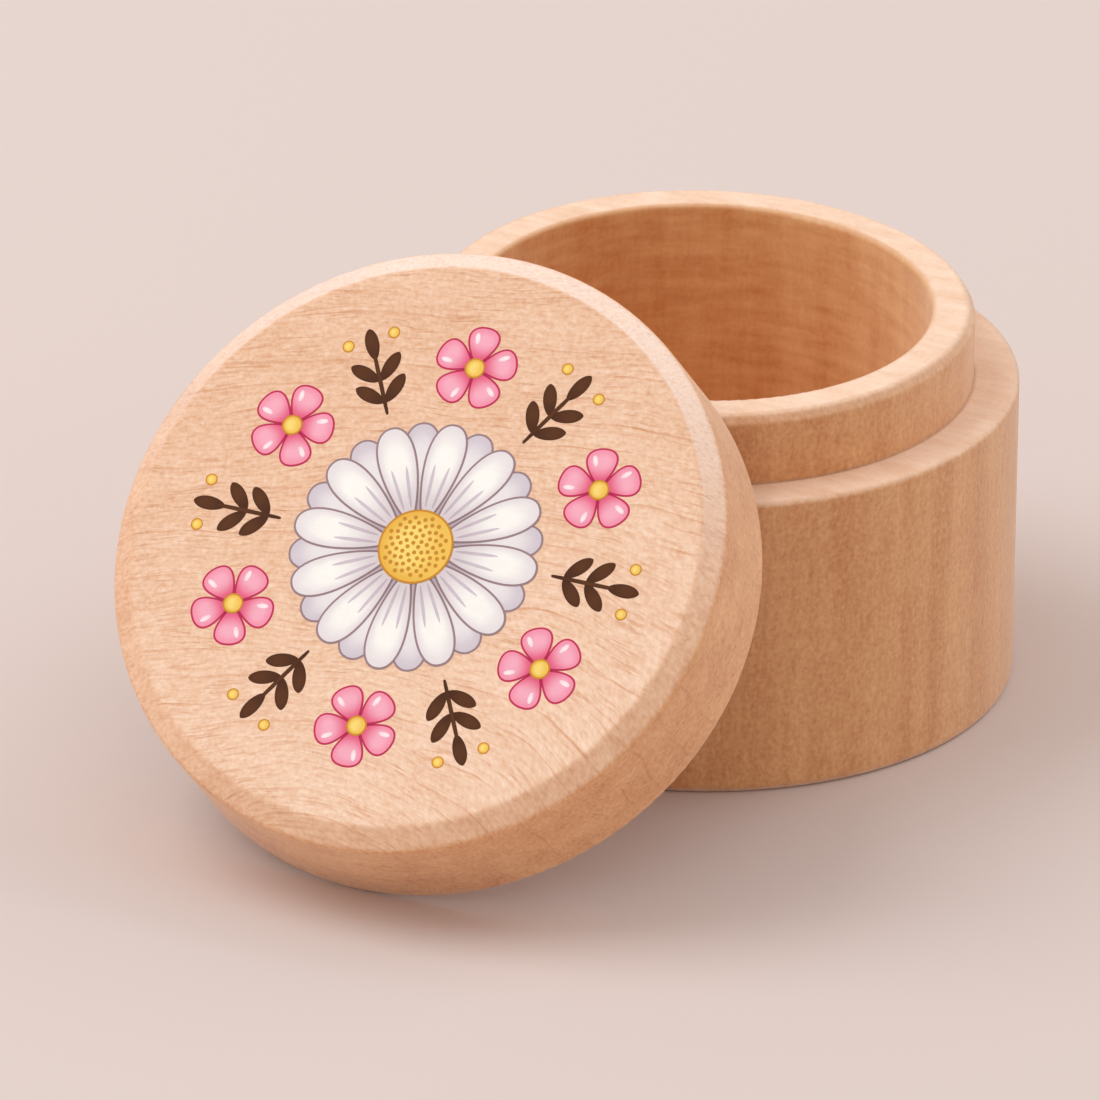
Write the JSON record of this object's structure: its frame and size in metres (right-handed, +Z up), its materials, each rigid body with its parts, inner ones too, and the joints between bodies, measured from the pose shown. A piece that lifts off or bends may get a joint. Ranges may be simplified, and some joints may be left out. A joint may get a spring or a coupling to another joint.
{
  "type": "baby tooth box",
  "caption": "Small round turned-wood keepsake box with a bored cup, a stepped rim and a bevelled pull-off lid, shown open with the lid leaning on the box.",
  "frame": {"origin": "centre of the box's foot, on the surface that it stands on", "axes": "+Z up along the box's axis; the lid leans on the box's -Y side with its face turned up and towards -Y; +X to the right seen from that side"},
  "size_m": [0.056, 0.0822, 0.0426],
  "materials": {
    "box_wood": "sanded, unvarnished",
    "lid_wood": "sanded, unvarnished, printed face"
  },
  "bodies": {
    "box": {"turned_box": "box_wood"},
    "lid": {"turned_lid": "lid_wood"}
  },
  "joints": [
    {"name": "lid_lift", "type": "slide", "parent": "box", "child": "lid", "axis": [0, 0, 1], "range_m": [0, 0.06]}
  ]
}
